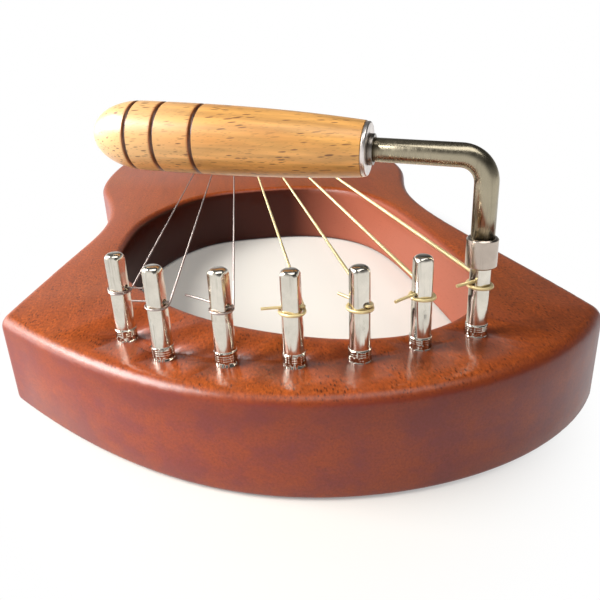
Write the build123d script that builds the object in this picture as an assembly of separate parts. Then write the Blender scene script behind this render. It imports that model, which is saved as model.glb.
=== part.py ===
from build123d import *
import os
from math import atan2, cos, degrees, hypot, radians, sin

# A seven-string lyre with its tuning wrench standing on the last pin.
# Frame: +X to the right as seen from the yoke, +Y from the yoke to the tail, +Z up from
# the back. The origin is in the middle of the back, on the axis of the sound box.

# ---- body ----
BODY_THICK = 30.0
TAIL_Y = 197.0             # far end of the sound box, on the axis
TAIL_HALF = 88.0           # half width at the tail corners
TAIL_CORNER_Y = 190.0
SHOULDER_HALF = 95.8       # widest place, at the sound box
SHOULDER_Y = 98.0
WAIST_HALF = 78.4          # narrowest place, across the arms
WAIST_Y = -24.0
YOKE_FRONT_Y = -197.0      # the yoke's most forward place
YOKE_FRONT_X = 20.0
YOKE_LEFT = (-93.2, -128.5)    # the yoke slants, so its left corner lies further back
YOKE_RIGHT = (92.0, -160.5)
EDGE_ROUND = 4.0           # top edge all round
BACK_ROUND = 2.0
YOKE_CORNER_ROUND = 8.0
TAIL_CORNER_ROUND = 24.0

# ---- hand opening between the arms ----
OPENING_NEAR_Y = -165.5
OPENING_NEAR_X = 22.0
OPENING_FAR_Y = 34.0
OPENING_LEFT = -62.8
OPENING_RIGHT = 66.0
OPENING_ROUND = 3.0

# ---- sound box ----
TOP_PLATE = 3.5            # wood left above the hollow
BACK_BOARD_THICK = 3.0
BACK_BOARD_LAP = 6.0       # width of the rebate that carries the back board
BACK_BOARD_FIT = 0.1
HOLLOW_HALF = 79.0
HOLLOW_NEAR_Y = 52.0
HOLLOW_FAR_Y = 180.0
SOUND_HOLE_DIA = 34.0
SOUND_HOLE_Y = 102.0
BRACE_WIDE = 6.0
BRACE_HIGH = 9.0
BRACE_PLACES = {"brace_front": (76.0, 130.0), "brace_tail": (166.0, 104.0)}   # place, length

# ---- bridge ----
SADDLE_Y = 140.0
SADDLE_TOP = 9.6           # string height over the wood at the saddle
SADDLE_THICK = 3.0
SADDLE_LENGTH = 70.0
SADDLE_SLOT_DEPTH = 4.0
BRIDGE_X = -1.9            # the strings run to a place a little left of the axis
BRIDGE_LENGTH = 82.0
BRIDGE_WIDE = 20.0
BRIDGE_HIGH = 7.5
BRIDGE_NOSE = 7.0          # wood in front of the saddle's middle
BRIDGE_PLATE_THICK = 3.0
STRING_PITCH_AT_SADDLE = 9.1
STRING_DROP = 3.4          # from the saddle's top to the hole in the bridge's rear face
STRING_HOLE_GAP = 0.5
BALL_END_DIA = 3.8
BALL_END_LENGTH = 3.4
STRING_SEAT_GAP = 0.06     # string over the saddle's crown
BEND_LIFT = 0.1            # corner of the string's route over the arc that rounds it
BALL_END_GAP = 0.3         # string to ball end
SCREW_DIA = 3.0
SCREW_HEAD_DIA = 6.0
SCREW_HEAD_HIGH = 2.0
SCREW_SPACING = 74.0
SCREW_BITE = 5.0           # length of screw inside the bridge
SCREW_GAP = 0.05

# ---- tuning pins ----
PIN_PLACES = [
    (-49.2, -153.0), (-37.6, -167.2), (-20.9, -173.9), (-3.4, -178.1),
    (13.7, -178.7), (31.0, -174.8), (48.2, -170.4),
]
PIN_DIA = 6.1              # over the thread
PIN_SHANK_DIA = 5.5
PIN_STAND = 25.8           # height over the wood
PIN_SUNK = 23.0
PIN_HOLE_GAP = 0.05
PIN_RAISE = [0, 0.3, 0.6, 0.3, 0, 0, 0]      # how much higher each pin stands
PIN_SQUARE = 4.6           # across the flats, above their run-out
PIN_SQUARE_TOP = 4.4
PIN_RUN_OUT_FROM = 10.2    # heights over the wood between which the flats run out
PIN_RUN_OUT_TO = 12.0
PIN_DOME_HIGH = 1.7        # rounding of the head
PIN_TOP_DIA = 2.7          # what the rounding leaves flat
PIN_EYE_DIA = 1.8
PIN_EYE_AT = 15.8
THREAD_STAND = 3.4         # thread showing over the wood
THREAD_PITCH = 0.65
THREAD_DEPTH = 0.18
PIN_TURNS = [66, 64, 52, 66, 12, 4, 20]     # which way each square faces, degrees

# ---- strings: diameters along the string and on the pin, and the cut ends ----
STRING_DIAS = [0.45, 0.50, 0.55, 0.90, 1.00, 1.10, 1.25]
COIL_DIAS = [0.45, 0.50, 0.55, 0.80, 0.80, 0.85, 0.95]
END_REACHES = [7.3, 7.0, 11.4, 7.7, 7.3, 9.9, 7.7]       # from the pin's axis
END_HEADINGS = [-22.0, 158.0, 140.0, 174.0, 124.0, 208.0, 197.0]
END_RISES = [0, 0, 5, 0, 6, 0, 0]
COIL_GAP = 0.06            # running gap of the coil on the pin
TURN_GAP = 0.06            # between the turn and the cut end
STRING_UNDER_EYE = 0.1     # each string meets its pin just below the eye
STRING_BEND = 4.0          # bend radius over the saddle

# ---- tuning wrench ----
WRENCH_PIN = 7
WRENCH_HEADING = 156.1     # direction of the handle, from +X towards +Y
WRENCH_RISE = 3.0          # the rod is bent a little short of square, degrees
ROD_DIA = 6.2
ROD_HIGH = 48.7            # height of the crank's corner over the wood
ROD_BEND = 7.0
ROD_TANG = 36.0            # length of rod inside the handle
ROD_OVER_PIN = 0.3
SOCKET_DIA = 8.3
SOCKET_FROM = 19.9         # height of the socket's mouth over the wood
SOCKET_HIGH = 8.0
SOCKET_GAP = 0.12          # between the square and the pin's flats
SOCKET_CHAMFER = 0.4
HANDLE_FROM = 30.0         # distance of the handle's face from the pin's axis
HANDLE_LENGTH = 81.5
HANDLE_NECK_DIA = 14.6
HANDLE_DIA = 19.4
HANDLE_GROOVES = [14.4, 22.9, 34.4]     # distance from the handle's round end
GROOVE_DEPTH = 0.5
GROOVE_WIDE = 1.6
CAP_THICK = 1.2
CAP_INSET = 0.2            # how much smaller the steel cap is than the handle's face
COLLAR_DIA = 8.2
COLLAR_THICK = 1.3
BORE_GAP = 0.05

TOP = BODY_THICK
STRINGS = range(1, 8)
FAR = 400.0


def save(node, shape):
    export_step(shape, f"parts/{node}.step")


def drill(x, y, z_from, z_to, dia):
    """A vertical cylinder from one height to another."""
    high = z_to - z_from
    return Pos(x, y, z_from + high / 2) * Cylinder(dia / 2, high)


def mirrored(points):
    return [(-x, y) for x, y in reversed(points)]


# ---------------------------------------------------------------- body

def body_outline():
    """The rim of the body: yoke, arms with a waist, shoulders and a rounded tail."""
    flare = [
        (WAIST_HALF + 1.8, WAIST_Y + 31), (WAIST_HALF + 8, WAIST_Y + 62),
        (SHOULDER_HALF - 2.6, SHOULDER_Y - 32), (SHOULDER_HALF, SHOULDER_Y),
        (SHOULDER_HALF - 2, SHOULDER_Y + 47), (TAIL_HALF, TAIL_CORNER_Y),
    ]
    right = [YOKE_RIGHT, (87.3, -117), (82.2, -76), (WAIST_HALF, WAIST_Y)] + flare
    left = mirrored(flare) + [(-WAIST_HALF, WAIST_Y), (-83.4, -63), (-89.2, -100), YOKE_LEFT]
    tail = Spline(right[-1], (0, TAIL_Y), left[0])
    front = Spline(YOKE_LEFT, (-56.2, -167.3), (-18.4, -191),
                   (YOKE_FRONT_X, YOKE_FRONT_Y), (60, -187), YOKE_RIGHT)
    return make_face(Wire([Spline(*right), tail, Spline(*left), front]))


def opening_outline():
    """The egg-shaped hand opening, which follows the slant of the yoke."""
    points = [
        (OPENING_NEAR_X, OPENING_NEAR_Y), (47, -157.6), (61.8, -138),
        (OPENING_RIGHT + 0.6, -106), (OPENING_RIGHT - 1, -58), (61.5, -18), (49, 15),
        (25, OPENING_FAR_Y - 2), (0, OPENING_FAR_Y), (-27, OPENING_FAR_Y - 5), (-48, 6),
        (-59.6, -23), (OPENING_LEFT, -52), (OPENING_LEFT + 2, -84), (-50, -110.5),
        (-27, -141), (-2, -158.4),
    ]
    return make_face(Wire([Spline(*points, periodic=True)]))


def hollow_outline(grow=0.0):
    """The hollow of the sound box, or an outline that lies further out all round."""
    half, near, far = HOLLOW_HALF + grow, HOLLOW_NEAR_Y - grow, HOLLOW_FAR_Y + grow
    side = [
        (44, near + 1), (half - 6 - 0.3 * grow, near + 17),
        (half, SHOULDER_Y + 12), (half - 8, far - 22), (44, far - 1.5),
    ]
    points = [(0, near)] + side + [(0, far)] + mirrored(side)
    return make_face(Wire([Spline(*points, periodic=True)]))


def body():
    block = extrude(body_outline(), BODY_THICK)
    corners = block.edges().filter_by(Axis.Z).sort_by(Axis.Y)
    block = fillet(corners[:2], YOKE_CORNER_ROUND)
    corners = block.edges().filter_by(Axis.Z).sort_by(Axis.Y)
    block = fillet(corners[-2:], TAIL_CORNER_ROUND)
    top_edges = block.faces().sort_by(Axis.Z)[-1].edges()
    block = fillet(top_edges, EDGE_ROUND)
    block = fillet(block.faces().sort_by(Axis.Z)[0].edges(), BACK_ROUND)

    block -= extrude(opening_outline(), BODY_THICK)
    rim = [e for e in block.faces().sort_by(Axis.Z)[-1].edges() if inside_opening(e)]
    block = fillet(rim, OPENING_ROUND)
    rim = [e for e in block.faces().sort_by(Axis.Z)[0].edges() if inside_opening(e)]
    block = fillet(rim, BACK_ROUND)

    block -= extrude(hollow_outline(), BODY_THICK - TOP_PLATE)
    block -= extrude(hollow_outline(BACK_BOARD_LAP), BACK_BOARD_THICK)
    block -= drill(0, SOUND_HOLE_Y, 0, TOP, SOUND_HOLE_DIA)
    for x, y in PIN_PLACES:
        block -= drill(x, y, TOP - PIN_SUNK - 1, TOP, PIN_DIA + 2 * PIN_HOLE_GAP)
    for x in screw_places():
        block -= drill(x, bridge_middle(), TOP - TOP_PLATE, TOP, SCREW_DIA + 2 * SCREW_GAP)
    return block


def inside_opening(edge):
    c = edge.bounding_box()
    return c.min.X > OPENING_LEFT - 5 and c.max.X < OPENING_RIGHT + 5 and c.max.Y < OPENING_FAR_Y + 5


def back_board():
    return extrude(hollow_outline(BACK_BOARD_LAP - BACK_BOARD_FIT), BACK_BOARD_THICK)


def brace(y, length):
    """A tone bar glued under the top, with its ends thinned."""
    z = TOP - TOP_PLATE
    bar = Pos(0, y, z - BRACE_HIGH / 2) * Box(length, BRACE_WIDE, BRACE_HIGH)
    ends = bar.edges().filter_by(Axis.Y).group_by(Axis.Z)[0]
    return chamfer(ends, BRACE_HIGH * 0.6)


# ---------------------------------------------------------------- bridge

def bridge_middle():
    return SADDLE_Y - BRIDGE_NOSE + BRIDGE_WIDE / 2


def screw_places():
    return [BRIDGE_X - SCREW_SPACING / 2, BRIDGE_X + SCREW_SPACING / 2]


def saddle_x(number):
    return BRIDGE_X + (number - 4) * STRING_PITCH_AT_SADDLE


def rear_hole_z():
    return TOP + SADDLE_TOP - STRING_DROP


def bridge_rear():
    return bridge_middle() + BRIDGE_WIDE / 2


def bridge():
    block = Pos(BRIDGE_X, bridge_middle(), TOP + BRIDGE_HIGH / 2) * Box(
        BRIDGE_LENGTH, BRIDGE_WIDE, BRIDGE_HIGH)
    block = fillet(block.edges().filter_by(Axis.Z), 4)
    block = fillet(block.faces().sort_by(Axis.Z)[-1].edges(), 1.2)
    block -= Pos(BRIDGE_X, SADDLE_Y, TOP + BRIDGE_HIGH - SADDLE_SLOT_DEPTH / 2) * Box(
        SADDLE_LENGTH, SADDLE_THICK, SADDLE_SLOT_DEPTH)
    for number in STRINGS:
        bore = STRING_DIAS[number - 1] + 2 * STRING_HOLE_GAP
        path = Edge.make_line(saddle_point(number), string_anchor(number) + Vector(0, 4, -0.8))
        block -= sweep(Plane(path @ 0, z_dir=path % 0) * Circle(bore / 2), path=path)
    for x in screw_places():
        block -= drill(x, bridge_middle(), TOP, TOP + SCREW_BITE + 0.2, SCREW_DIA + 2 * SCREW_GAP)
    return block


def saddle():
    low = TOP + BRIDGE_HIGH - SADDLE_SLOT_DEPTH
    high = TOP + SADDLE_TOP - low
    strip = Pos(BRIDGE_X, SADDLE_Y, low + high / 2) * Box(SADDLE_LENGTH, SADDLE_THICK, high)
    crown = strip.faces().sort_by(Axis.Z)[-1].edges().filter_by(Axis.X)
    return fillet(crown, SADDLE_THICK * 0.45)


def bridge_plate():
    """The hard wood pad under the top that the bridge screws pull against."""
    z = TOP - TOP_PLATE
    pad = Pos(BRIDGE_X, bridge_middle(), z - BRIDGE_PLATE_THICK / 2) * Box(
        BRIDGE_LENGTH + 8, BRIDGE_WIDE + 4, BRIDGE_PLATE_THICK)
    for x in screw_places():
        pad -= drill(x, bridge_middle(), z - BRIDGE_PLATE_THICK, z, SCREW_DIA + 2 * SCREW_GAP)
    return pad


def bridge_screws():
    z = TOP - TOP_PLATE - BRIDGE_PLATE_THICK
    screws = []
    for x in screw_places():
        shank = drill(x, bridge_middle(), z, TOP + SCREW_BITE, SCREW_DIA)
        head = drill(x, bridge_middle(), z - SCREW_HEAD_HIGH, z, SCREW_HEAD_DIA)
        screws.append(shank + head)
    return Compound(children=screws)


# ---------------------------------------------------------------- pins

def pin(number):
    """A zither pin: threaded foot, round shank, and a square head with an eye."""
    x, y = PIN_PLACES[number - 1]
    thread, shank, top = PIN_DIA / 2, PIN_SHANK_DIA / 2, PIN_TOP_DIA / 2
    points = [(0, -PIN_SUNK), (thread - 1, -PIN_SUNK), (thread, 1 - PIN_SUNK)]
    turns = int(THREAD_STAND / THREAD_PITCH)
    for turn in range(turns):
        low = THREAD_STAND - (turns - turn) * THREAD_PITCH
        points += [(thread, low), (thread - THREAD_DEPTH, low + THREAD_PITCH / 2)]
    points += [(thread, THREAD_STAND), (shank, THREAD_STAND + thread - shank),
               (shank, PIN_STAND - PIN_DOME_HIGH)]
    side = Polyline(*points)
    dome = TangentArc(points[-1], (top, PIN_STAND), tangent=(0, 1))
    axis = Polyline((top, PIN_STAND), (0, PIN_STAND), points[0])
    outline = make_face(Wire([*side.edges(), *dome.edges(), *axis.edges()]))
    turned_pin = revolve(Plane.XZ * outline, Axis.Z)

    head = loft([
        Pos(0, 0, height) * Rectangle(across, across)
        for height, across in ((PIN_RUN_OUT_FROM, PIN_SHANK_DIA + 0.1),
                               (PIN_RUN_OUT_TO, PIN_SQUARE), (PIN_STAND, PIN_SQUARE_TOP))
    ], ruled=True)
    below = Pos(0, 0, PIN_RUN_OUT_FROM - FAR / 2) * Cylinder(thread * 2, FAR)
    shape = turned_pin & (head + below)
    eye = Pos(0, 0, PIN_EYE_AT) * Rot(0, 90, 0) * Cylinder(PIN_EYE_DIA / 2, PIN_DIA * 2)
    heading = END_HEADINGS[number - 1]
    shape = Rot(0, 0, PIN_TURNS[number - 1]) * shape - Rot(0, 0, heading) * eye
    return Pos(x, y, TOP + PIN_RAISE[number - 1]) * shape


# ---------------------------------------------------------------- strings

def string_radius(number):
    return STRING_DIAS[number - 1] / 2


def coil_radius(number, wire):
    """Radius of the middle of a wire that lies round a pin."""
    return PIN_SHANK_DIA / 2 + COIL_GAP + wire / 2


def eye_height(number):
    return TOP + PIN_RAISE[number - 1] + PIN_EYE_AT


def string_height(number):
    return eye_height(number) - PIN_EYE_DIA / 2 - STRING_UNDER_EYE - string_radius(number)


def saddle_point(number):
    over_crown = STRING_SEAT_GAP + BEND_LIFT
    return Vector(saddle_x(number), SADDLE_Y,
                  TOP + SADDLE_TOP + string_radius(number) + over_crown)


def string_anchor(number):
    return Vector(saddle_x(number), bridge_rear(), rear_hole_z())


def string_start(number):
    """Where the string leaves its pin: the tangent point on the pin's right side."""
    x, y = PIN_PLACES[number - 1]
    end = saddle_point(number)
    away = atan2(end.Y - y, end.X - x)
    reach = hypot(end.Y - y, end.X - x)
    r = coil_radius(number, STRING_DIAS[number - 1])
    lean = away - radians(90) + atan2(r, reach)
    return Vector(x + r * cos(lean), y + r * sin(lean), string_height(number))


def string(number):
    """One string: pin, over the saddle, into the bridge and out to its ball end."""
    start, top, end = string_start(number), saddle_point(number), string_anchor(number)
    first = (top - start).normalized()
    second = (end - top).normalized()
    end -= second * BALL_END_GAP
    turn = radians(first.get_angle(second))
    cut = STRING_BEND * abs(sin(turn / 2) / cos(turn / 2))
    bend_from, bend_to = top - first * cut, top + second * cut
    route = Wire([
        Edge.make_line(start, bend_from),
        Edge.make_tangent_arc(bend_from, first, bend_to),
        Edge.make_line(bend_to, end),
    ])
    section = Plane(start, z_dir=first) * Circle(string_radius(number))
    return sweep(section, path=route)


def ball_ends():
    """Brass ball ends, one behind the bridge for each string."""
    ends = []
    for number in STRINGS:
        place = string_anchor(number)
        ends.append(Pos(place.X, place.Y + BALL_END_DIA / 2, place.Z) * Rot(0, 90, 0)
                    * Cylinder(BALL_END_DIA / 2, BALL_END_LENGTH))
    return Compound(children=ends)


def winding(number):
    """The turn of string on a pin and its cut end, which goes through the eye."""
    x, y = PIN_PLACES[number - 1]
    wire = COIL_DIAS[number - 1]
    ring = coil_radius(number, wire)
    clear = degrees((wire + TURN_GAP) / ring)
    path = CenterArc((0, 0), ring, clear, 360 - 2 * clear)
    turn = sweep(Plane(path @ 0, z_dir=path % 0) * Circle(wire / 2), path=path)
    inside = ring - wire / 2 - TURN_GAP
    length = inside + END_REACHES[number - 1]
    end = Pos(length / 2 - inside, 0, 0) * Rot(0, 90, 0) * Cylinder(wire / 2, length)
    place = Pos(x, y, eye_height(number)) * Rot(0, 0, END_HEADINGS[number - 1])
    return Compound(children=[
        place * turn, place * Rot(0, -END_RISES[number - 1], 0) * end])


# ---------------------------------------------------------------- wrench

def wrench_place():
    """Frame of the crank's corner: +X runs along the handle's rod."""
    x, y = PIN_PLACES[WRENCH_PIN - 1]
    return Pos(x, y, TOP + ROD_HIGH) * Rot(0, 0, WRENCH_HEADING) * Rot(0, -WRENCH_RISE, 0)


def wrench_rod():
    x, y = PIN_PLACES[WRENCH_PIN - 1]
    foot = Vector(x, y, TOP + PIN_STAND + ROD_OVER_PIN)
    corner = Vector(x, y, TOP + ROD_HIGH)
    heading, rise = radians(WRENCH_HEADING), radians(WRENCH_RISE)
    along = Vector(cos(heading) * cos(rise), sin(heading) * cos(rise), sin(rise))
    up = Vector(0, 0, 1)
    half = radians(up.get_angle(along)) / 2
    cut = ROD_BEND * sin(half) / cos(half)
    bend_from, bend_to = corner - up * cut, corner + along * cut
    tip = corner + along * (HANDLE_FROM + ROD_TANG)
    route = Wire([
        Edge.make_line(foot, bend_from),
        Edge.make_tangent_arc(bend_from, up, bend_to),
        Edge.make_line(bend_to, tip),
    ])
    return sweep(Plane(foot, z_dir=up) * Circle(ROD_DIA / 2), path=route)


def wrench_socket():
    x, y = PIN_PLACES[WRENCH_PIN - 1]
    low = TOP + SOCKET_FROM
    sleeve = drill(x, y, low, low + SOCKET_HIGH, SOCKET_DIA)
    sleeve = chamfer(sleeve.edges().filter_by(GeomType.CIRCLE), SOCKET_CHAMFER)
    seat = TOP + PIN_STAND + ROD_OVER_PIN
    sleeve -= drill(x, y, seat, low + SOCKET_HIGH, ROD_DIA + 2 * BORE_GAP)
    side = PIN_SQUARE + 2 * SOCKET_GAP
    depth = seat - low
    square = extrude(Rectangle(side, side), depth)
    return sleeve - Pos(x, y, low) * Rot(0, 0, PIN_TURNS[WRENCH_PIN - 1]) * square


def turned(outline):
    """A turned piece along the handle's axis, from (distance, radius) points."""
    shape = revolve(Plane.XZ * make_face(outline), Axis.X)
    return wrench_place() * Pos(HANDLE_FROM, 0, 0) * shape


def wrench_handle():
    end = HANDLE_LENGTH
    neck = HANDLE_NECK_DIA / 2
    full = HANDLE_DIA / 2
    bore = ROD_DIA / 2 + BORE_GAP
    side = Spline((CAP_THICK, neck), (20, full - 1.0), (50, full - 0.1), (end - 16, full),
                  (end - 4, full * 0.68), (end, 0), tangents=((1, 0.12), (0, -1)))
    bottom = Polyline((end, 0), (ROD_TANG + 1, 0), (ROD_TANG + 1, bore), (CAP_THICK, bore),
                      (CAP_THICK, neck))
    shape = revolve(Plane.XZ * make_face(Wire([*side.edges(), *bottom.edges()])), Axis.X)
    for back in HANDLE_GROOVES:
        at = end - back
        radius = side_radius(side, at)
        ring = Pos(at, 0, 0) * Rot(0, 90, 0) * Cylinder(full * 2, GROOVE_WIDE)
        core = Pos(at, 0, 0) * Rot(0, 90, 0) * Cylinder(radius - GROOVE_DEPTH, GROOVE_WIDE)
        shape -= ring - core
    return wrench_place() * Pos(HANDLE_FROM, 0, 0) * shape


def side_radius(side, at):
    """Radius of the handle at a distance from its steel cap."""
    low, high = 0.0, 1.0
    for _ in range(30):
        middle = (low + high) / 2
        if (side @ middle).X < at:
            low = middle
        else:
            high = middle
    return (side @ low).Y


def wrench_cap():
    bore = ROD_DIA / 2 + BORE_GAP
    rim = HANDLE_NECK_DIA / 2 - CAP_INSET
    return turned(Polyline((0, bore), (CAP_THICK, bore), (CAP_THICK, rim), (0.3, rim),
                           (0, rim - 0.3), close=True))


def wrench_collar():
    bore = ROD_DIA / 2 + BORE_GAP
    rim = COLLAR_DIA / 2
    return turned(Polyline((-COLLAR_THICK, bore), (0, bore), (0, rim),
                           (-COLLAR_THICK, rim), close=True))


def main():
    os.makedirs("parts", exist_ok=True)
    save("body", body())
    save("back_board", back_board())
    for node, (y, length) in BRACE_PLACES.items():
        save(node, brace(y, length))
    save("bridge", bridge())
    save("bridge_plate", bridge_plate())
    save("bridge_screws", bridge_screws())
    save("saddle", saddle())
    save("string_ball_ends", ball_ends())
    for number in STRINGS:
        save(f"tuning_pin_{number}", pin(number))
        save(f"string_{number}", string(number))
        save(f"string_{number}_winding", winding(number))
    save("wrench_rod", wrench_rod())
    save("wrench_socket", wrench_socket())
    save("wrench_handle", wrench_handle())
    save("wrench_cap", wrench_cap())
    save("wrench_collar", wrench_collar())


main()
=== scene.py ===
from math import atan2, cos, pi, radians, sin, sqrt

import bpy
from mathutils import Euler, Matrix, Vector


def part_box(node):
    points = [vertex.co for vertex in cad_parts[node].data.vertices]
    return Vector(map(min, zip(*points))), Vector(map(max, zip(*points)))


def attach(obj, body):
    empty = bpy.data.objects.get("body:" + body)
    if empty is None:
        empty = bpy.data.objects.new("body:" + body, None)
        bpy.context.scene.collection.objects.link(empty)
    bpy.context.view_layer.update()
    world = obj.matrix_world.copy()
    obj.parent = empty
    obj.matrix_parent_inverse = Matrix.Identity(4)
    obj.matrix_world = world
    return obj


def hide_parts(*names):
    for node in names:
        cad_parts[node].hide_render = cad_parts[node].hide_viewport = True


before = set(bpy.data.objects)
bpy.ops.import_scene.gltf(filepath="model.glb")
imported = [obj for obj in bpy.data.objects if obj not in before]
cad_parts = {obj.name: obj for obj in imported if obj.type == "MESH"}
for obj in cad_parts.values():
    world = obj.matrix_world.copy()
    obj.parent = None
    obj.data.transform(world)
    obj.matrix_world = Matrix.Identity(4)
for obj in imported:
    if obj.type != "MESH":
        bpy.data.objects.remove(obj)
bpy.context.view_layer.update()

bl_info = {
    "name": "Seven-string lyre",
    "version": (1, 0, 0),
    "blender": (4, 5, 0),
    "location": "3D View > Sidebar > Lyre",
    "description": "A seven-string lyre with its tuning wrench on the last pin",
    "category": "Add Mesh",
}

MM = 0.001
STRINGS = range(1, 8)
PLAIN_STRINGS = (1, 2, 3)
WRENCH_PIN = 7
SMOOTH_ANGLE = radians(32)

# The tuning pins, as in the part's source.
PIN_STAND = 25.8 * MM
PIN_SHANK = 5.5 * MM
PIN_EYE_AT = 15.8 * MM
PIN_EYE_DIA = 1.8 * MM
COIL_GAP = 0.06 * MM
STRING_UNDER_EYE = 0.1 * MM

# One value for each string: diameters in mm, then the cut end's reach from the pin's
# axis in mm, its heading from +X in degrees and its rise in degrees.
STRING_DIAS = [0.45, 0.50, 0.55, 0.90, 1.00, 1.10, 1.25]
COIL_DIAS = [0.45, 0.50, 0.55, 0.80, 0.80, 0.85, 0.95]
END_REACHES = [7.3, 7.0, 11.4, 7.7, 7.3, 9.9, 7.7]
END_HEADINGS = [-22.0, 158.0, 140.0, 174.0, 124.0, 208.0, 197.0]
END_RISES = [0, 0, 5, 0, 6, 0, 0]

# The coil: how far it turns at least, its steps, where it has thinned to the coil's own
# diameter, the last stretch that climbs into the eye, and the pitch in wire widths.
COIL_LEAST_SWEEP = radians(250)
COIL_STEP = radians(22)
COIL_THINS_OVER = radians(70)
COIL_CLIMB_OVER = radians(60)
COIL_CLIMB_POWER = 1.5
COIL_PITCH = 1.12

# The ball ends: small spools with a waist, shares of their own length and radius.
SPOOL_LENGTH = 3.4 * MM
SPOOL_WAIST_HALF = 0.22
SPOOL_WAIST = 0.72

# The wrench, as in the part's source. The handle's sizes are in mm: its face lies at
# HANDLE_FROM from the crank's corner, distances along it start at that face, and neck,
# full and bore are radii.
ROD_HIGH = 48.7 * MM
WRENCH_HEADING = radians(156.1)
WRENCH_RISE = radians(3.0)
HANDLE_FROM = 30.0
HANDLE_LENGTH = 81.5
HANDLE_NECK = 7.3
HANDLE_FULL = 9.7
HANDLE_ROUND_FROM = 65.5
HANDLE_BORE = 3.15
CAP_THICK = 1.2
ROD_TANG = 36.0
FACE_CHAMFER = 0.12
HANDLE_SHOULDER_POWER = 2.5
HANDLE_END_POWER = 2.08
HANDLE_STATIONS = [CAP_THICK, CAP_THICK + FACE_CHAMFER, 2, *range(4, 45, 4), 49, 54.5, 56.5,
                   61, 63, 65, 69.5, 71.5, 73.5, 75.5, 77, 78.2, 79.2, 80.0, 80.6, 81.0,
                   81.3, 81.45]
PAINTED_HIGHLIGHT_FROM = 42                 # painted highlight: the wood is painted paler from here to the round end
SPIN_STEPS = 128

# The burnt grooves: places in mm from the handle's round end, and the section of one as
# (share of its half width, share of its depth).
GROOVES = (14.4, 22.9, 34.4)
GROOVE_SHAPE = ((-1.0, 0.0), (-0.9, 0.10), (-0.62, 0.72), (-0.3, 1.0), (0.15, 1.0),
                (0.55, 0.72), (0.85, 0.22), (1.05, 0.0))

# The stage.
FLOOR_SIZE = 8
FLOOR_GAP = 0.2 * MM
FILL_TINT = (1.0, 0.985, 0.965)
MIRRORED_TINT = (0.8, 0.8, 0.8)
LAMP_AIM = Vector((0, -0.05, 0))
LAMPS = (                  # name, share of the key lamp's power, size, place
    ("key_lamp", 1.0, (0.50, 0.34), (-0.60, -0.136, 0.434)),
    ("top_lamp", 0.38, (1.0, 0.5), (0.10, -0.46, 1.0)))
CAMERA_AT = (-15.906 * MM, -320.049 * MM, 107.078 * MM)
CAMERA_HEADING = radians(-5.9)
CAMERA_PITCH = radians(90 - 22.57)
CAMERA_ROLL = radians(-2.575)
CAMERA_LENS = 37.35
CAMERA_SENSOR = 36
CAMERA_NEAR = 0.01


# ---------------------------------------------------------------- settings

class LyreWoodSettings(bpy.types.PropertyGroup):
    """Colours and finish of the body"""
    top: bpy.props.FloatVectorProperty(
        name="Top", description="Colour of the body's stained top", subtype="COLOR",
        size=3, min=0, max=1, default=(0.350, 0.072, 0.011))
    side: bpy.props.FloatVectorProperty(
        name="Side", description="Colour of the body's stained sides", subtype="COLOR",
        size=3, min=0, max=1, default=(0.290, 0.047, 0.021))
    pore: bpy.props.FloatVectorProperty(
        name="Pores", description="Colour of the open pores", subtype="COLOR",
        size=3, min=0, max=1, default=(0.055, 0.011, 0.004))
    gloss: bpy.props.FloatProperty(
        name="Lacquer", description="Weight of the satin lacquer", subtype="FACTOR",
        min=0, max=1, default=0.85)


class LyreStringSettings(bpy.types.PropertyGroup):
    """Colours of the strings and the shape of their coils"""
    bronze: bpy.props.FloatVectorProperty(
        name="Wound strings", description="Colour of the bronze wrap", subtype="COLOR",
        size=3, min=0, max=1, default=(1.0, 0.78, 0.40))
    steel: bpy.props.FloatVectorProperty(
        name="Plain strings", description="Colour of the plain steel strings",
        subtype="COLOR", size=3, min=0, max=1, default=(0.46, 0.39, 0.36))
    wrap_pitch: bpy.props.FloatProperty(
        name="Wrap pitch", description="Distance between turns of the bronze wrap",
        unit="LENGTH", subtype="DISTANCE", min=0.0001, max=0.001, default=0.00024,
        precision=5)


class LyreWrenchSettings(bpy.types.PropertyGroup):
    """Sizes and colours of the tuning wrench"""
    wood: bpy.props.FloatVectorProperty(
        name="Handle", description="Colour of the beech handle", subtype="COLOR",
        size=3, min=0, max=1, default=(0.70, 0.350, 0.095))
    burnt: bpy.props.FloatVectorProperty(
        name="Grooves", description="Colour burnt into the grooves", subtype="COLOR",
        size=3, min=0, max=1, default=(0.045, 0.012, 0.005))
    metal: bpy.props.FloatVectorProperty(
        name="Rod", description="Colour of the satin nickel rod", subtype="COLOR",
        size=3, min=0, max=1, default=(0.40, 0.35, 0.25))
    groove_depth: bpy.props.FloatProperty(
        name="Groove depth", description="Depth of the burnt grooves",
        unit="LENGTH", subtype="DISTANCE", min=0, max=0.002, default=0.00055, precision=5)
    groove_width: bpy.props.FloatProperty(
        name="Groove width", description="Width of the burnt grooves",
        unit="LENGTH", subtype="DISTANCE", min=0.0005, max=0.004, default=0.0013,
        precision=5)


class LyreStageSettings(bpy.types.PropertyGroup):
    """Floor, lamps and camera"""
    floor: bpy.props.FloatVectorProperty(
        name="Floor", description="Colour of the floor", subtype="COLOR",
        size=3, min=0, max=1, default=(0.74, 0.70, 0.63))
    key: bpy.props.FloatProperty(
        name="Key lamp", description="Power of the key lamp", unit="POWER",
        min=0, max=500, default=10.5)
    fill: bpy.props.FloatProperty(
        name="Fill", description="Strength of the plain light all round",
        min=0, max=3, default=0.12)


# ---------------------------------------------------------------- small tools

def deselect():
    """Nothing selected, in object mode."""
    if bpy.context.object and bpy.context.object.mode != "OBJECT":
        bpy.ops.object.mode_set(mode="OBJECT")
    bpy.ops.object.select_all(action="DESELECT")


def pick(obj):
    deselect()
    obj.select_set(True)
    bpy.context.view_layer.objects.active = obj


def edit(obj):
    pick(obj)
    bpy.ops.object.mode_set(mode="EDIT")
    bpy.ops.mesh.select_all(action="SELECT")


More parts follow.
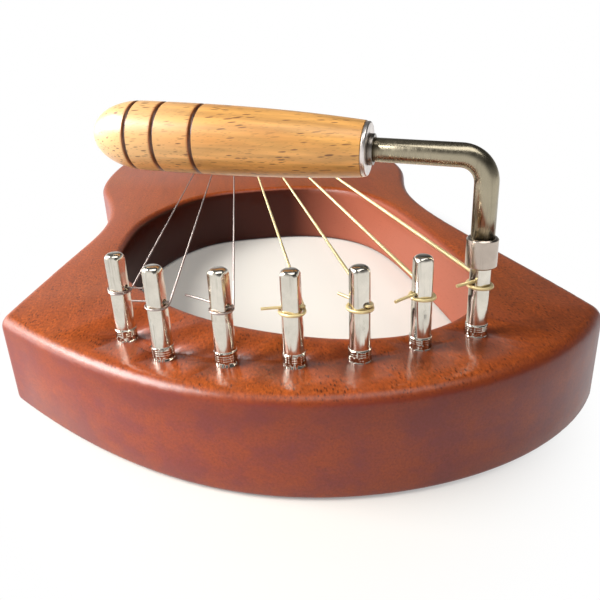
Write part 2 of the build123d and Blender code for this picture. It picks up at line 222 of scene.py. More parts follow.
def close_edit():
    bpy.ops.object.mode_set(mode="OBJECT")


def apply_place(obj):
    pick(obj)
    bpy.ops.object.transform_apply(location=True, rotation=True, scale=True)


def soften(obj, width, angle=SMOOTH_ANGLE, segments=2):
    """Rounds the sharp edges a little, as polishing does."""
    pick(obj)
    mod = obj.modifiers.new("edges", "BEVEL")
    mod.width = width
    mod.segments = segments
    mod.limit_method = "ANGLE"
    mod.angle_limit = angle
    bpy.ops.object.modifier_apply(modifier=mod.name)


def smooth(obj, angle=SMOOTH_ANGLE):
    pick(obj)
    bpy.ops.object.shade_smooth_by_angle(angle=angle)


def dressed_copy(node, name):
    """A copy of a CAD node's mesh, joined up."""
    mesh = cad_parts[node].data.copy()
    mesh.name = name
    mesh.materials.clear()
    obj = bpy.data.objects.new(name, mesh)
    bpy.context.scene.collection.objects.link(obj)
    edit(obj)
    bpy.ops.mesh.remove_doubles(threshold=1e-6)
    close_edit()
    return obj


def finish_piece(obj, name, body, nodes, material):
    """Name, finish and ride of a piece that is already in place."""
    obj.name = name
    obj.data.name = name
    if not obj.data.materials:
        obj.data.materials.append(material)
    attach(obj, body)
    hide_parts(*nodes)
    return obj


def dress(node, name, body, material, bevel=None, angle=SMOOTH_ANGLE):
    """A finished piece with a CAD node's own shape; bevel is (width, angle, segments)."""
    obj = dressed_copy(node, name)
    if bevel:
        soften(obj, *bevel)
    smooth(obj, angle)
    return finish_piece(obj, name, body, [node], material)


def node_middle(node):
    low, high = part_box(node)
    return (low + high) / 2


# ---------------------------------------------------------------- material tools

SOCKETS = {"metallic": "Metallic", "coat_weight": "Coat Weight",
           "coat_roughness": "Coat Roughness", "coat_ior": "Coat IOR",
           "specular_ior_level": "Specular IOR Level"}


class Nodes:
    """Short calls that add nodes to one tree and join them."""

    def __init__(self, tree):
        self.tree = tree

    def node(self, kind, **settings):
        made = self.tree.nodes.new(kind)
        for key, value in settings.items():
            setattr(made, key, value)
        return made

    def link(self, out, into):
        self.tree.links.new(out, into)

    def fill(self, socket, value):
        """Gives an input a number, or joins it to another node's output."""
        if isinstance(value, (int, float)):
            socket.default_value = value
        else:
            self.link(value, socket)

    def range(self, value, low, high, to_low=0.0, to_high=1.0, **settings):
        made = self.node("ShaderNodeMapRange", clamp=True, **settings)
        for socket, number in (("From Min", low), ("From Max", high),
                               ("To Min", to_low), ("To Max", to_high)):
            made.inputs[socket].default_value = number
        self.link(value, made.inputs["Value"])
        return made.outputs["Result"]

    def math(self, operation, a, b=0.0):
        made = self.node("ShaderNodeMath", operation=operation)
        for socket, value in zip(made.inputs, (a, b)):
            self.fill(socket, value)
        return made.outputs["Value"]

    def part(self, vector, axis):
        made = self.node("ShaderNodeSeparateXYZ")
        self.link(vector, made.inputs[0])
        return made.outputs[axis]

    def blend(self, factor, first, second):
        """Mixes the light of two shaders."""
        made = self.node("ShaderNodeMixShader")
        for socket, value in zip(made.inputs, (factor, first, second)):
            self.link(value, socket)
        return made.outputs[0]


class Finish(Nodes):
    """A procedural material under construction."""

    def __init__(self, name, **sockets):
        self.material = bpy.data.materials.new(name)
        self.material.use_nodes = True
        super().__init__(self.material.node_tree)
        self.shader = self.tree.nodes["Principled BSDF"]
        for socket, value in sockets.items():
            self.shader.inputs[SOCKETS[socket]].default_value = value
        self.place = self.node("ShaderNodeTexCoord")

    def put(self, out, socket):
        self.link(out, self.shader.inputs[socket])

    def coords(self, scale=(1, 1, 1), source=None, centre=None, turn=None):
        """Object coordinates, centred and turned, then scaled."""
        out = source or self.place.outputs["Object"]
        if centre is not None:
            turned = self.node("ShaderNodeMapping", vector_type="TEXTURE")
            turned.inputs["Location"].default_value = centre
            turned.inputs["Rotation"].default_value = turn or (0, 0, 0)
            self.link(out, turned.inputs["Vector"])
            out = turned.outputs["Vector"]
        if tuple(scale) == (1, 1, 1):
            return out
        sized = self.node("ShaderNodeMapping")
        sized.inputs["Scale"].default_value = scale
        self.link(out, sized.inputs["Vector"])
        return sized.outputs["Vector"]

    def noise(self, vector, detail=4.0, roughness=0.55, distortion=0.0):
        made = self.node("ShaderNodeTexNoise")
        made.inputs["Scale"].default_value = 1.0
        made.inputs["Detail"].default_value = detail
        made.inputs["Roughness"].default_value = roughness
        made.inputs["Distortion"].default_value = distortion
        self.link(vector, made.inputs["Vector"])
        return made.outputs["Fac"]

    def specks(self, vector, radius, soft=0.4):
        """1 inside scattered specks, 0 between them."""
        made = self.node("ShaderNodeTexVoronoi", feature="F1")
        made.inputs["Scale"].default_value = 1.0
        made.inputs["Randomness"].default_value = 1.0
        self.link(vector, made.inputs["Vector"])
        return self.range(made.outputs["Distance"], radius, radius * (1 - soft), 0, 1)

    def mix(self, factor, a, b):
        """Mixes two colours; each may be a colour or a socket."""
        made = self.node("ShaderNodeMix", data_type="RGBA")
        self.fill(made.inputs[0], factor)
        for index, value in ((6, a), (7, b)):
            if isinstance(value, bpy.types.NodeSocket):
                self.link(value, made.inputs[index])
            else:
                made.inputs[index].default_value = (*value, 1.0)
        return made.outputs[2]

    def bump(self, height, distance, strength=1.0, under=None):
        made = self.node("ShaderNodeBump")
        made.inputs["Strength"].default_value = strength
        made.inputs["Distance"].default_value = distance
        self.link(height, made.inputs["Height"])
        if under is not None:
            self.link(under, made.inputs["Normal"])
        return made.outputs["Normal"]


def shade(colour, factor):
    """A colour made darker or lighter."""
    return tuple(min(1.0, c * factor) for c in colour)


# ---------------------------------------------------------------- materials

def opening_wall(f, on_top):
    """1 on the upright wall of the hand opening, 0 on the rest of the body."""
    across = f.math("ABSOLUTE", f.part(f.place.outputs["Object"], 0))
    along = f.part(f.place.outputs["Object"], 1)
    inside = f.math("MULTIPLY", f.range(across, 70 * MM, 68 * MM),
                    f.math("MULTIPLY", f.range(along, -160 * MM, -125 * MM),
                           f.range(along, 50 * MM, 45 * MM)))
    return f.math("MULTIPLY", inside, f.range(on_top, 0.6, 0.1))


def stained_mahogany(wood):
    """Orange-brown on top, plum-brown on the sides, with open pores, and painted light and
    shade on the opening's wall.
    """
    f = Finish("stained_mahogany", coat_roughness=0.32,
               coat_ior=1.5, specular_ior_level=0.0)
    up = f.part(f.place.outputs["Normal"], 2)
    on_top = f.range(up, 0.35, 0.95)

    broad = f.noise(f.coords((34, 9, 34)), detail=3, distortion=0.6)
    streak = f.noise(f.coords((420, 34, 420)), detail=5, roughness=0.6)
    speck = f.noise(f.coords((1500, 620, 1500)), detail=3, roughness=0.7)

    # Specks, then darker streaks along the grain, then broad patches of the sides' colour.
    top = f.mix(f.range(speck, 0.34, 0.66), shade(wood.top, 0.50), shade(wood.top, 1.42))
    top = f.mix(f.range(streak, 0.36, 0.68, 0, 0.55), top, shade(wood.top, 0.60))
    top = f.mix(f.range(broad, 0.38, 0.66, 0, 0.35), top, shade(wood.side, 0.95))

    # Plum and warm clouds, darker in specks and near the upper edge.
    plum = (wood.side[0] * 0.80, wood.side[1] * 0.88, wood.side[2] * 1.7)
    warm = (wood.side[0] * 1.20, wood.side[1] * 1.25, wood.side[2] * 0.70)
    side = f.mix(f.range(f.noise(f.coords((85, 70, 120)), detail=4, roughness=0.65),
                         0.38, 0.62), plum, warm)
    side = f.mix(f.range(speck, 0.35, 0.65, 0.0, 0.6), side, shade(wood.side, 0.66))
    height = f.part(f.place.outputs["Object"], 2)
    under_edge = f.range(height, 17 * MM, 26 * MM, 0.0, 0.40)
    side = f.mix(under_edge, side, shade(wood.side, 0.52))

    # The opening's wall, with painted light and shade: bright orange where it faces -X as
    # painted key light, almost black as painted shade where it doesn't.
    inside = opening_wall(f, on_top)
    facing = f.part(f.place.outputs["Normal"], 0)
    painted_light_share = f.range(facing, -1.0, -0.12, 1.0, 0.0)
    inner = f.mix(painted_light_share, shade(wood.side, 0.15),
                  (wood.side[0] * 1.45, wood.side[1] * 2.6, wood.side[2] * 3.4))
    side = f.mix(inside, side, inner)
    f.put(f.math("SUBTRACT", wood.gloss, f.math("MULTIPLY", inside, wood.gloss * 0.5)),
          "Coat Weight")

    # Open pores, in patches, mostly on the top.
    colour = f.mix(on_top, side, top)
    pores = f.specks(f.coords((1250, 380, 1250)), 0.34, 0.5)
    patchy = f.range(f.noise(f.coords((160, 60, 160)), detail=2), 0.40, 0.62, 0.15, 1.0)
    pores = f.math("MULTIPLY", f.math("MULTIPLY", pores, patchy),
                   f.range(on_top, 0, 1, 0.18, 0.85))
    colour = f.mix(pores, colour, wood.pore)
    f.put(colour, "Base Color")
    f.put(f.range(streak, 0.3, 0.7, 0.36, 0.5), "Roughness")
    grain = f.bump(speck, 0.06 * MM, 0.5)
    grain = f.bump(f.math("SUBTRACT", 1.0, pores), 0.12 * MM, 0.6, grain)
    f.put(grain, "Normal")
    return f.material


def plain_wood(name, light, dark, scale, roughness, centre=(0, 0, 0), turn=(0, 0, 0),
               pores=0.0):
    """Straight-grained wood: the grain runs along the mapped X axis."""
    f = Finish(name, specular_ior_level=0.35)
    local = f.coords(centre=centre, turn=turn)
    fine = f.noise(f.coords((18 * scale, 520 * scale, 520 * scale), local), detail=5)
    wide = f.noise(f.coords((6 * scale, 130 * scale, 130 * scale), local), detail=2,
                   distortion=0.5)
    colour = f.mix(f.range(fine, 0.34, 0.66), light, dark)
    colour = f.mix(f.range(wide, 0.40, 0.60, 0, 0.5), colour, shade(dark, 0.8))
    if pores:
        dots = f.specks(f.coords((230 * scale, 1200 * scale, 1200 * scale), local), 0.2)
        colour = f.mix(f.math("MULTIPLY", dots, pores), colour, shade(dark, 0.35))
    f.put(colour, "Base Color")
    f.put(f.range(fine, 0.3, 0.7, roughness - 0.06, roughness + 0.06), "Roughness")
    f.put(f.bump(fine, 0.08 * MM, 0.5), "Normal")
    return f.material


def beech(wrench, centre, turn, grooves):
    """The turned handle: yellow-tan with short dark dashes, burnt grooves and a painted
    highlight towards the round end.
    """
    f = Finish("turned_beech", coat_weight=0.75, coat_roughness=0.28,
               specular_ior_level=0.3)
    local = f.coords(centre=centre, turn=turn)
    streak = f.noise(f.coords((26, 420, 420), local), detail=4, roughness=0.6)
    broad = f.noise(f.coords((14, 75, 75), local), detail=2, distortion=0.8)
    colour = f.mix(f.range(streak, 0.36, 0.64), shade(wrench.wood, 1.12),
                   shade(wrench.wood, 0.70))
    tan = (wrench.wood[0] * 0.82, wrench.wood[1] * 0.66, wrench.wood[2] * 0.60)
    colour = f.mix(f.range(broad, 0.45, 0.68, 0, 0.75), colour, tan)

    along = f.part(local, 0)
    # Painted highlight: the wood grows paler towards the round end, where the key lamp's
    # glint falls.
    highlight_from = (HANDLE_FROM + PAINTED_HIGHLIGHT_FROM) * MM
    highlight_to = (HANDLE_FROM + HANDLE_LENGTH) * MM
    colour = f.mix(f.range(along, highlight_from, highlight_to, 0, 0.75), colour,
                   (min(1.0, wrench.wood[0] * 1.3), wrench.wood[1] * 1.75,
                    wrench.wood[2] * 3.2))

    slanted = f.coords(source=local, centre=(0, 0, 0), turn=(0, 0.10, 0.13))
    dashes = f.specks(f.coords((175, 1250, 1250), slanted), 0.27, 0.35)
    small = f.specks(f.coords((380, 2400, 2400), slanted), 0.26, 0.4)
    weight = f.range(f.noise(f.coords((50, 160, 160), local), detail=2), 0.40, 0.54,
                     0.35, 1.0)
    dashes = f.math("MULTIPLY", dashes, weight)
    colour = f.mix(f.math("MULTIPLY", small, 0.55), colour, shade(wrench.wood, 0.42))
    colour = f.mix(f.math("MULTIPLY", dashes, 0.92), colour,
                   (wrench.wood[0] * 0.22, wrench.wood[1] * 0.17, wrench.wood[2] * 0.2))

    burnt, scorched = None, None
    for place in grooves:
        past = f.math("SUBTRACT", along, place)
        dark = f.math("MINIMUM", f.range(past, -0.42 * MM, -0.18 * MM),
                      f.range(past, 0.62 * MM, 0.34 * MM))
        brown = f.math("MINIMUM", f.range(past, -0.4 * MM, -0.2 * MM),
                       f.range(past, 1.3 * MM, 0.5 * MM))
        burnt = dark if burnt is None else f.math("MAXIMUM", burnt, dark)
        scorched = brown if scorched is None else f.math("MAXIMUM", scorched, brown)
    uneven = f.range(f.noise(f.coords((700, 500, 500), local), detail=3), 0.3, 0.7,
                     0.72, 1.0)
    colour = f.mix(f.math("MULTIPLY", scorched, 0.75), colour,
                   (wrench.wood[0] * 0.42, wrench.wood[1] * 0.17, wrench.wood[2] * 0.12))
    colour = f.mix(f.math("MULTIPLY", burnt, uneven), colour, wrench.burnt)
    f.put(colour, "Base Color")
    f.put(f.range(streak, 0.3, 0.7, 0.34, 0.48), "Roughness")
    fine = f.bump(streak, 0.05 * MM, 0.5)
    f.put(f.bump(f.math("SUBTRACT", 1.0, dashes), 0.06 * MM, 0.5, fine), "Normal")
    return f.material


def plated(name, colour, roughness, brushed=(900, 900, 60), relief=0.01 * MM, spots=0.0):
    """Plated steel: a slightly uneven mirror with fine marks along one axis."""
    f = Finish(name, metallic=1.0)
    cloud = f.noise(f.coords((160, 160, 160)), detail=3)
    marks = f.noise(f.coords(brushed), detail=4, roughness=0.65)
    tone = f.mix(f.range(cloud, 0.35, 0.65), shade(colour, 1.06), shade(colour, 0.90))
    if spots:
        tone = f.mix(f.math("MULTIPLY", f.range(marks, 0.56, 0.7), spots), tone,
                     shade(colour, 0.45))
    f.put(tone, "Base Color")
    f.put(f.range(marks, 0.3, 0.7, roughness * 0.75, roughness * 1.3), "Roughness")
    f.put(f.bump(marks, relief, 0.6), "Normal")
    return f.material


def string_steel(strings):
    f = Finish("string_steel", metallic=1.0)
    cloud = f.noise(f.coords((300, 90, 300)), detail=3)
    f.put(f.mix(f.range(cloud, 0.35, 0.65), shade(strings.steel, 1.1),
                shade(strings.steel, 0.85)), "Base Color")
    f.put(f.range(cloud, 0.3, 0.7, 0.34, 0.46), "Roughness")
    return f.material


def wound_bronze(strings, axis):
    """Bronze wrap: fine turns across the string."""
    f = Finish("wound_bronze_" + "xyz"[axis], metallic=0.45)
    turn = 2 * pi / strings.wrap_pitch
    along = f.math("MULTIPLY", f.part(f.place.outputs["Object"], axis), turn)
    ridge = f.range(f.math("SINE", along), -1, 1)
    cloud = f.noise(f.coords((220, 70, 220)), detail=3)
    tone = f.mix(f.range(cloud, 0.35, 0.65), shade(strings.bronze, 1.08),
                 shade(strings.bronze, 0.86))
    # Painted shade: the bronze is darker in the crevices between the turns.
    tone = f.mix(f.range(ridge, 0.0, 0.45, 0.35, 0.0), tone, shade(strings.bronze, 0.5))
    f.put(tone, "Base Color")
    f.put(f.range(cloud, 0.3, 0.7, 0.26, 0.36), "Roughness")
    f.put(f.bump(ridge, 0.05 * MM, 0.5), "Normal")
    return f.material


def bone():
    f = Finish("bone", specular_ior_level=0.5, coat_weight=0.3, coat_roughness=0.2)
    lines = f.noise(f.coords((120, 700, 900)), detail=4)
    f.put(f.mix(f.range(lines, 0.35, 0.65), (0.80, 0.74, 0.60), (0.70, 0.61, 0.45)),
          "Base Color")
    f.put(f.range(lines, 0.3, 0.7, 0.3, 0.42), "Roughness")
    f.put(f.bump(lines, 0.04 * MM, 0.4), "Normal")
    return f.material


# ---------------------------------------------------------------- body and bridge

class LYRE_OT_body(bpy.types.Operator):
    """Dress the wooden body in stained mahogany"""
    bl_idname = "lyre.body"
    bl_label = "Body"

    def execute(self, context):
        dress("body", "lyre_body", "root", stained_mahogany(context.scene.lyre_wood),
              angle=radians(28))
        return {"FINISHED"}


class LYRE_OT_sound_box(bpy.types.Operator):
    """Add the back board and the tone bars inside the sound box"""
    bl_idname = "lyre.sound_box"
    bl_label = "Sound box"

    def execute(self, context):
        wood = context.scene.lyre_wood
        along_y = (0, 0, pi / 2)
        board_wood = plain_wood("back_board_wood", shade(wood.side, 1.05),
                                shade(wood.side, 0.62), 1.0, 0.42, turn=along_y,
                                pores=0.7)
        dress("back_board", "lyre_back_board", "root", board_wood,
              bevel=(0.3 * MM, radians(50)))
        bar_wood = plain_wood("tone_bar_wood", (0.72, 0.50, 0.27), (0.52, 0.32, 0.14),
                              1.6, 0.6)
        for node in ("brace_front", "brace_tail"):
            dress(node, node.replace("brace", "tone_bar"), "root", bar_wood,
                  bevel=(0.8 * MM, radians(50), 3))
        return {"FINISHED"}


class LYRE_OT_bridge(bpy.types.Operator):
    """Add the bridge with its saddle, pad, screws and the strings' ball ends"""
    bl_idname = "lyre.bridge"
    bl_label = "Bridge"

    def execute(self, context):
        rosewood = plain_wood("rosewood", (0.10, 0.036, 0.020), (0.030, 0.011, 0.007),
                              1.4, 0.34, pores=0.9)
        maple = plain_wood("maple", (0.62, 0.42, 0.22), (0.50, 0.31, 0.15), 1.0, 0.55)
        screw_steel = plated("screw_steel", (0.52, 0.49, 0.44), 0.3)
        for node, name, material, slot, width in (
                ("bridge", "bridge_block", rosewood, "rosewood", 0.25),
                ("saddle", "bridge_saddle", bone(), "bone", 0.12),
                ("bridge_plate", "bridge_pad", maple, "maple", 0.4),
                ("bridge_screws", "bridge_screw_pair", screw_steel, "screw_steel", 0.2)):
            dress(node, name, "root", material, bevel=(width * MM, radians(50)))
        self.ball_ends()
        return {"FINISHED"}

    def ball_ends(self):
        """Each ball end is a small brass spool with a waist."""
        low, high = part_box("string_ball_ends")
        radius = (high.z - low.z) / 2
        length = SPOOL_LENGTH
        first, last = low.x + length / 2, high.x - length / 2
        spools = []
        for index in range(len(STRINGS)):
            x = first + (last - first) * index / (len(STRINGS) - 1)
            deselect()
            bpy.ops.mesh.primitive_cylinder_add(
                vertices=40, radius=radius, depth=length, rotation=(0, pi / 2, 0),
                location=(x, (low.y + high.y) / 2, (low.z + high.z) / 2))
            spool = bpy.context.object
            apply_place(spool)
            edit(spool)
            for share in (-SPOOL_WAIST_HALF, SPOOL_WAIST_HALF, 0):
                bpy.ops.mesh.select_all(action="SELECT")
                bpy.ops.mesh.bisect(plane_co=(x + length * share, 0, 0),
                                    plane_no=(1, 0, 0))
            bpy.ops.transform.resize(value=(1, SPOOL_WAIST, SPOOL_WAIST))
            close_edit()
            soften(spool, 0.25 * MM, radians(40), 3)
            smooth(spool, radians(50))
            spools.append(spool)
        deselect()
        for spool in spools:
            spool.select_set(True)
        bpy.context.view_layer.objects.active = spools[0]
        bpy.ops.object.join()
        brass = plated("brass", (0.80, 0.56, 0.20), 0.25)
        joined = bpy.context.object
        apply_place(joined)
        finish_piece(joined, "ball_ends", "root", ["string_ball_ends"], brass)


# ---------------------------------------------------------------- pins and strings

class LYRE_OT_pins(bpy.types.Operator):
    """Add the seven tuning pins"""
    bl_idname = "lyre.pins"
    bl_label = "Tuning pins"

    def execute(self, context):
        nickel = plated("bright_nickel", (0.72, 0.67, 0.58), 0.17, spots=0.35)
        for number in STRINGS:
            dress(f"tuning_pin_{number}", f"tuning_pin_{number}_plated",
                  f"pin_{number}", nickel, angle=radians(26))
        return {"FINISHED"}


class LYRE_OT_strings(bpy.types.Operator):
    """Add the seven strings and the coil of each on its pin"""
    bl_idname = "lyre.strings"
    bl_label = "Strings"

    def execute(self, context):
        strings = context.scene.lyre_strings
        steel = string_steel(strings)
        bronze = wound_bronze(strings, 1)
        coil_bronze = wound_bronze(strings, 0)
        for number in STRINGS:
            plain = number in PLAIN_STRINGS
            dress(f"string_{number}", f"string_{number}_wire", "root",
                  steel if plain else bronze, angle=radians(60))
            coil = self.coil(number)
            finish_piece(coil, f"string_{number}_coil", f"pin_{number}",
                         [f"string_{number}_winding"], steel if plain else coil_bronze)
        return {"FINISHED"}

    def coil(self, number):
        """A turn on the pin, then through the eye to a cut end."""
        pin = node_middle(f"tuning_pin_{number}")
        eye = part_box(f"tuning_pin_{number}")[1].z - PIN_STAND + PIN_EYE_AT
        thick, thin = STRING_DIAS[number - 1] * MM / 2, COIL_DIAS[number - 1] * MM / 2
        start_z = eye - PIN_EYE_DIA / 2 - STRING_UNDER_EYE - thick

        string = [v.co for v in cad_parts[f"string_{number}"].data.vertices]
        nearest = min(co.y for co in string)
        first = [co for co in string if co.y < nearest + MM]
        touch = sum(first, Vector()) / len(first)
        lean = atan2(touch.y - pin.y, touch.x - pin.x)

        heading = radians(END_HEADINGS[number - 1])
        swept = (lean - heading - pi) % (2 * pi)
        if swept < COIL_LEAST_SWEEP:
            swept += 2 * pi
        count = round(swept / COIL_STEP)
        points = []
        for index in range(count + 1):
            turn = swept * index / count
            part = min(1.0, turn / COIL_THINS_OVER)
            wire = thick + (thin - thick) * part
            ring = PIN_SHANK / 2 + COIL_GAP + wire
            rise = (thick + thin) * COIL_PITCH * turn / (2 * pi)
            climb = max(0.0, 1 + (turn - swept) / COIL_CLIMB_OVER)
            z = start_z + rise + (eye - start_z - rise) * climb ** COIL_CLIMB_POWER
            angle = lean - turn
            points.append((pin.x + ring * cos(angle), pin.y + ring * sin(angle), z,
                           wire / thin))
        out = Vector((cos(heading), sin(heading), 0))
        lift = sin(radians(END_RISES[number - 1]))
        reach = END_REACHES[number - 1] * MM
        side = Vector((-out.y, out.x, 0))
        centre = Vector((pin.x, pin.y, eye))
        # Through the eye and out: place along the end, and how far it bows sideways.
        for along, bow in ((-0.36 * PIN_SHANK, 0), (0, 0), (0.5 * PIN_SHANK, 0),
                           (reach * 0.72, 0.02), (reach, 0.055)):
            place = centre + out * along + side * reach * bow
            points.append((place.x, place.y, eye + lift * along, 1.0))
        return wire_along(points, thin)


def wire_along(points, radius):
    """A round wire along a smooth line, as a closed mesh."""
    deselect()
    bpy.ops.curve.primitive_nurbs_path_add(location=(0, 0, 0))
    obj = bpy.context.object
    curve = obj.data
    curve.splines.clear()
    spline = curve.splines.new("NURBS")
    spline.points.add(len(points) - 1)
    for point, (x, y, z, size) in zip(spline.points, points):
        point.co = (x, y, z, 1.0)
        point.radius = size
    spline.use_endpoint_u = True
    spline.order_u = 3
    curve.resolution_u = 8
    curve.bevel_depth = radius
    curve.bevel_resolution = 4
    curve.use_fill_caps = True
    pick(obj)
    bpy.ops.object.convert(target="MESH")
    obj = bpy.context.object
    edit(obj)
    bpy.ops.mesh.remove_doubles(threshold=1e-7)
    bpy.ops.mesh.normals_make_consistent(inside=False)
    close_edit()
    smooth(obj, radians(60))
    return obj


# ---------------------------------------------------------------- wrench

def wrench_place():
    """Frame of the crank's corner: +X runs along the handle's rod."""
    pin = node_middle(f"tuning_pin_{WRENCH_PIN}")
    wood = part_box(f"tuning_pin_{WRENCH_PIN}")[1].z - PIN_STAND
    corner = Vector((pin.x, pin.y, wood + ROD_HIGH))
    return corner, Euler((0, -WRENCH_RISE, WRENCH_HEADING))


def handle_radius(x):
    """Radius in mm at a distance from the handle's face."""
    if x < HANDLE_ROUND_FROM:
        t = max(0.0, (x - CAP_THICK) / (HANDLE_ROUND_FROM - CAP_THICK))
        return (HANDLE_NECK
                + (HANDLE_FULL - HANDLE_NECK) * (1 - (1 - t) ** HANDLE_SHOULDER_POWER))
    t = (x - HANDLE_ROUND_FROM) / (HANDLE_LENGTH - HANDLE_ROUND_FROM)
    return HANDLE_FULL * sqrt(max(0.0, 1 - t ** HANDLE_END_POWER))


class LYRE_OT_handle(bpy.types.Operator):
    """Turn the beech handle with its burnt grooves"""
    bl_idname = "lyre.handle"
    bl_label = "Wrench handle"

    def execute(self, context):
        wrench = context.scene.lyre_wrench
        corner, turn = wrench_place()
        half = wrench.groove_width / MM / 2
        depth = wrench.groove_depth / MM
        grooves = [HANDLE_LENGTH - back for back in GROOVES]
        outline = [(x, handle_radius(x) - (FACE_CHAMFER if x == CAP_THICK else 0))
                   for x in HANDLE_STATIONS
                   if all(abs(x - g) > half * 1.3 for g in grooves)]
        for place in grooves:
            outline += [(place + half * at, handle_radius(place + half * at) - depth * deep)
                        for at, deep in GROOVE_SHAPE]
        outline.sort()
        inner = [(CAP_THICK, HANDLE_BORE), (ROD_TANG + 1, HANDLE_BORE), (ROD_TANG + 1, 0)]
        line = list(reversed(inner)) + outline + [(HANDLE_LENGTH, 0)]
        handle = self.turned(line)
        handle.matrix_world = (Matrix.Translation(corner) @ turn.to_matrix().to_4x4())
        apply_place(handle)
        smooth(handle, radians(40))
        places = [(HANDLE_FROM + g) * MM for g in grooves]
        wood = beech(wrench, corner, tuple(turn), places)
        finish_piece(handle, "wrench_turned_handle", "wrench", ["wrench_handle"], wood)
        return {"FINISHED"}

    def turned(self, line):
        """Spins an outline of (distance, radius) in mm about the X axis."""
        deselect()
        bpy.ops.curve.primitive_nurbs_path_add(location=(0, 0, 0))
        obj = bpy.context.object
        obj.data.splines.clear()
        spline = obj.data.splines.new("POLY")
        spline.points.add(len(line) - 1)
        for point, (x, r) in zip(spline.points, line):
            point.co = ((HANDLE_FROM + x) * MM, 0, r * MM, 1.0)
        pick(obj)
        bpy.ops.object.convert(target="MESH")
        obj = bpy.context.object
        edit(obj)
        bpy.ops.mesh.spin(steps=SPIN_STEPS, angle=2 * pi, center=(0, 0, 0), axis=(1, 0, 0))
        bpy.ops.mesh.select_all(action="SELECT")
        bpy.ops.mesh.remove_doubles(threshold=2e-6)
        bpy.ops.mesh.normals_make_consistent(inside=False)
        close_edit()
        return obj


class LYRE_OT_wrench(bpy.types.Operator):
    """Add the wrench's bent rod, socket, cap and collar"""
    bl_idname = "lyre.wrench"
    bl_label = "Wrench rod"

    def execute(self, context):
        wrench = context.scene.lyre_wrench
        satin = plated("satin_nickel", wrench.metal, 0.26, relief=0.03 * MM, spots=0.3)
        sleeve = plated("socket_nickel", (0.54, 0.46, 0.39), 0.22, (1400, 1400, 40),
                        0.03 * MM, 0.2)
        grey = plated("cap_steel", (0.80, 0.74, 0.70), 0.34)
        dark = plated("dark_steel", (0.28, 0.25, 0.22), 0.3)
        for node, name, material, slot, width in (
                ("wrench_rod", "wrench_bent_rod", satin, "satin_nickel", None),
                ("wrench_socket", "wrench_square_socket", sleeve, "satin_nickel", 0.12),
                ("wrench_cap", "wrench_end_cap", grey, "cap_steel", 0.1),
                ("wrench_collar", "wrench_rod_collar", dark, "dark_steel", 0.2)):
            dress(node, name, "wrench", material, angle=radians(35),
                  bevel=(width * MM, radians(40)) if width else None)
        return {"FINISHED"}


# ---------------------------------------------------------------- stage

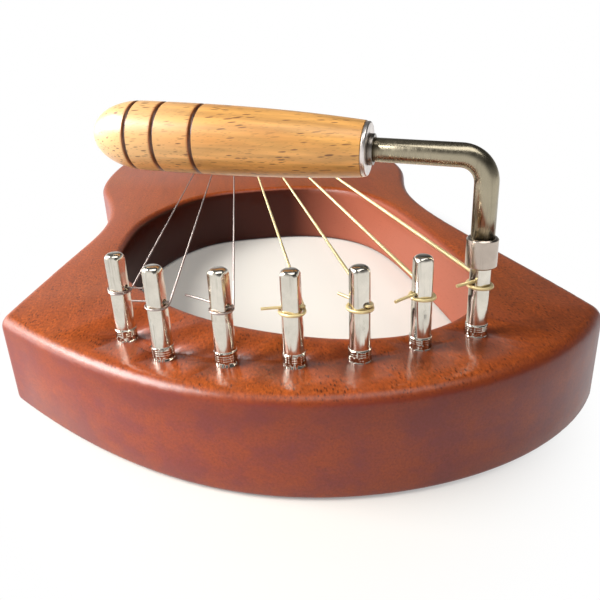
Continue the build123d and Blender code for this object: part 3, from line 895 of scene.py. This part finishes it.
class LYRE_OT_stage(bpy.types.Operator):
    """Set the floor, lamps, background and camera"""
    bl_idname = "lyre.stage"
    bl_label = "Stage"

    def execute(self, context):
        stage = context.scene.lyre_stage
        self.floor(stage)
        self.lamps(stage)
        self.world(stage)
        self.camera()
        context.scene.view_settings.view_transform = "Standard"
        return {"FINISHED"}

    def floor(self, stage):
        """A pale floor that fades to plain white away from the lyre."""
        deselect()
        bpy.ops.mesh.primitive_plane_add(size=FLOOR_SIZE, location=(0, 0, -FLOOR_GAP))
        plane = bpy.context.object
        plane.name = "floor"
        material = bpy.data.materials.new("pale_floor")
        material.use_nodes = True
        n = Nodes(material.node_tree)
        n.tree.nodes.clear()
        matt = n.node("ShaderNodeBsdfDiffuse")
        matt.inputs["Color"].default_value = (*stage.floor, 1)
        white = n.node("ShaderNodeEmission")
        squeeze = n.node("ShaderNodeVectorMath", operation="MULTIPLY")
        squeeze.inputs[1].default_value = (1.0, 0.5, 0.0)
        n.link(n.node("ShaderNodeTexCoord").outputs["Object"], squeeze.inputs[0])
        far = n.node("ShaderNodeVectorMath", operation="LENGTH")
        n.link(squeeze.outputs[0], far.inputs[0])
        fade = n.range(far.outputs["Value"], 86 * MM, 125 * MM, 0.10, 1.0,
                       interpolation_type="SMOOTHSTEP")
        light = n.blend(n.math("MULTIPLY", self.seen(n), fade), matt.outputs[0],
                        white.outputs[0])
        n.link(light, n.node("ShaderNodeOutputMaterial").inputs["Surface"])
        plane.data.materials.append(material)

    def seen(self, n):
        """1 for rays that show the background: direct, mirrored or through glass."""
        rays = n.node("ShaderNodeLightPath").outputs
        direct = n.math("MAXIMUM", rays["Is Camera Ray"], rays["Is Glossy Ray"])
        return n.math("MAXIMUM", direct, rays["Is Transmission Ray"])

    def lamps(self, stage):
        for name, share, size, place in LAMPS:
            deselect()
            bpy.ops.object.light_add(type="AREA", location=place)
            lamp = bpy.context.object
            lamp.name = name
            lamp.data.shape = "RECTANGLE"
            lamp.data.size, lamp.data.size_y = size
            lamp.data.energy = stage.key * share
            toward = LAMP_AIM - Vector(place)
            lamp.rotation_euler = toward.to_track_quat("-Z", "Y").to_euler()

    def world(self, stage):
        """Weak fill light, a white background and a darker room in mirrors."""
        world = bpy.data.worlds.new("studio")
        bpy.context.scene.world = world
        world.use_nodes = True
        n = Nodes(world.node_tree)
        n.tree.nodes.clear()
        fill = self.background(n, FILL_TINT, stage.fill)
        white = self.background(n, (1, 1, 1), 1.0)
        room = self.background(n, MIRRORED_TINT, self.mirrored(n))
        glossy = n.node("ShaderNodeLightPath").outputs["Is Glossy Ray"]
        light = n.blend(self.seen(n), fill, n.blend(glossy, white, room))
        n.link(light, n.node("ShaderNodeOutputWorld").inputs["Surface"])

    def background(self, n, colour, strength):
        made = n.node("ShaderNodeBackground")
        made.inputs["Color"].default_value = (*colour, 1)
        n.fill(made.inputs["Strength"], strength)
        return made.outputs[0]

    def mirrored(self, n):
        """Strength of the room in mirrors: dim above and to the right, a window left."""
        ray = n.node("ShaderNodeTexCoord").outputs["Generated"]
        x, y, z = (n.part(ray, axis) for axis in range(3))
        dim = n.math("MULTIPLY", n.range(z, 0.10, 0.45, 1.0, 0.16),
                     n.range(x, -0.10, 0.35, 1.0, 0.4))
        window = n.math("MULTIPLY", n.range(x, -0.56, -0.80, 0.0, 5.0),
                        n.range(y, -0.30, 0.05))
        return n.math("ADD", dim, window)

    def camera(self):
        deselect()
        bpy.ops.object.camera_add(location=CAMERA_AT)
        camera = bpy.context.object
        camera.name = "camera"
        aim = (Matrix.Rotation(CAMERA_HEADING, 3, "Z") @ Matrix.Rotation(CAMERA_PITCH, 3, "X")
               @ Matrix.Rotation(CAMERA_ROLL, 3, "Z"))
        camera.rotation_euler = aim.to_euler()
        camera.data.lens = CAMERA_LENS
        camera.data.sensor_width = CAMERA_SENSOR
        camera.data.clip_start = CAMERA_NEAR
        bpy.context.scene.camera = camera


# ---------------------------------------------------------------- panel and main

OPERATORS = (LYRE_OT_body, LYRE_OT_sound_box, LYRE_OT_bridge, LYRE_OT_pins,
             LYRE_OT_strings, LYRE_OT_handle, LYRE_OT_wrench, LYRE_OT_stage)
SETTINGS = {"lyre_wood": LyreWoodSettings, "lyre_strings": LyreStringSettings,
            "lyre_wrench": LyreWrenchSettings, "lyre_stage": LyreStageSettings}


class LYRE_PT_panel(bpy.types.Panel):
    """Settings and steps of the lyre"""
    bl_idname = "LYRE_PT_panel"
    bl_label = "Lyre"
    bl_space_type = "VIEW_3D"
    bl_region_type = "UI"
    bl_category = "Lyre"

    def draw(self, context):
        for name, group in SETTINGS.items():
            box = self.layout.box()
            box.label(text=group.__doc__)
            for key in group.__annotations__:
                box.prop(getattr(context.scene, name), key)
        for operator in OPERATORS:
            self.layout.operator(operator.bl_idname)


def register():
    for name, group in SETTINGS.items():
        bpy.utils.register_class(group)
        setattr(bpy.types.Scene, name, bpy.props.PointerProperty(type=group))
    for operator in OPERATORS:
        bpy.utils.register_class(operator)
    bpy.utils.register_class(LYRE_PT_panel)


def unregister():
    bpy.utils.unregister_class(LYRE_PT_panel)
    for operator in reversed(OPERATORS):
        bpy.utils.unregister_class(operator)
    for name, group in SETTINGS.items():
        delattr(bpy.types.Scene, name)
        bpy.utils.unregister_class(group)


def main():
    register()
    bpy.ops.lyre.body()
    bpy.ops.lyre.sound_box()
    bpy.ops.lyre.bridge()
    bpy.ops.lyre.pins()
    bpy.ops.lyre.strings()
    bpy.ops.lyre.handle()
    bpy.ops.lyre.wrench()
    bpy.ops.lyre.stage()


if __name__ == "__main__":
    main()
